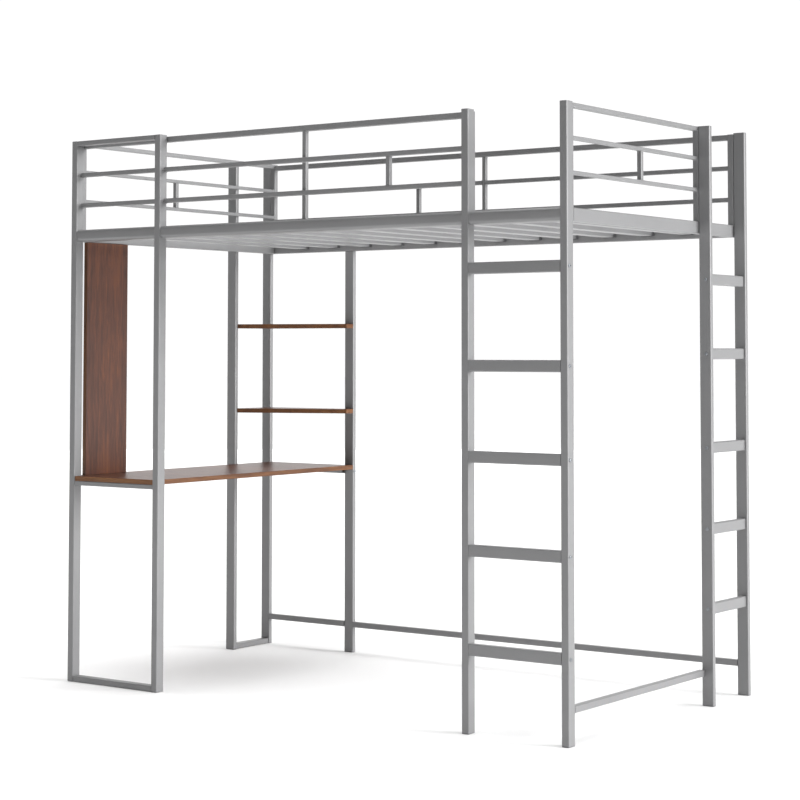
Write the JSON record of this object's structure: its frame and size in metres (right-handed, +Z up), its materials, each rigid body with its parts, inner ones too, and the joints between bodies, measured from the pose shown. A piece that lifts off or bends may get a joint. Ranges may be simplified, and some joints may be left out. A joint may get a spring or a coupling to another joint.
{
  "type": "loft bed with desk",
  "caption": "Raised single bed on a tubular steel frame with guard rails, two fixed ladders, and a desk top, shelves and an upright board under one end.",
  "frame": {"origin": "on the floor, under the middle of the bed's overall box", "axes": "+X along the length towards the two ladders, -Y towards the open front, +Z up"},
  "size_m": [2.0536, 1.086, 1.83],
  "materials": {
    "steel_paint": "silver-grey powder coat, satin",
    "walnut_board": "walnut-grain laminate on particle board, satin"
  },
  "bodies": {
    "root": {"front_left_post": "steel_paint", "front_desk_post": "steel_paint", "front_ladder_left_post": "steel_paint", "front_ladder_right_post": "steel_paint", "left_middle_post": "steel_paint", "back_left_post": "steel_paint", "back_desk_post": "steel_paint", "end_ladder_front_post": "steel_paint", "end_ladder_back_post": "steel_paint", "desk_frame_top_bar": "steel_paint", "desk_frame_floor_bar": "steel_paint", "left_frame_floor_bar": "steel_paint", "front_desk_bar": "steel_paint", "back_desk_bar": "steel_paint", "front_side_rail_desk": "steel_paint", "front_side_rail_middle": "steel_paint", "front_side_rail_ladder": "steel_paint", "front_mattress_rail": "steel_paint", "back_mattress_rail": "steel_paint", "left_mattress_rail": "steel_paint", "right_mattress_rail": "steel_paint", "front_guard": "steel_paint", "front_guard_second_rail_desk": "steel_paint", "front_guard_third_rail_desk": "steel_paint", "front_guard_lower_panel": "steel_paint", "back_guard": "steel_paint", "back_guard_second_rail": "steel_paint", "back_guard_third_rail": "steel_paint", "left_guard": "steel_paint", "right_guard": "steel_paint", "slat_01": "steel_paint", "slat_02": "steel_paint", "slat_03": "steel_paint", "slat_04": "steel_paint", "slat_05": "steel_paint", "slat_06": "steel_paint", "slat_07": "steel_paint", "slat_08": "steel_paint", "slat_09": "steel_paint", "slat_10": "steel_paint", "slat_11": "steel_paint", "slat_12": "steel_paint", "front_rung_1": "steel_paint", "front_rung_2": "steel_paint", "front_rung_3": "steel_paint", "front_rung_4": "steel_paint", "front_rung_5": "steel_paint", "end_rung_1": "steel_paint", "end_rung_2": "steel_paint", "end_rung_3": "steel_paint", "end_rung_4": "steel_paint", "end_rung_5": "steel_paint", "low_back_rail_left": "steel_paint", "low_back_rail_right": "steel_paint", "low_end_rail": "steel_paint", "desk_top": "walnut_board", "shelf_1": "walnut_board", "shelf_2": "walnut_board", "upright_board": "walnut_board"}
  },
  "joints": []
}
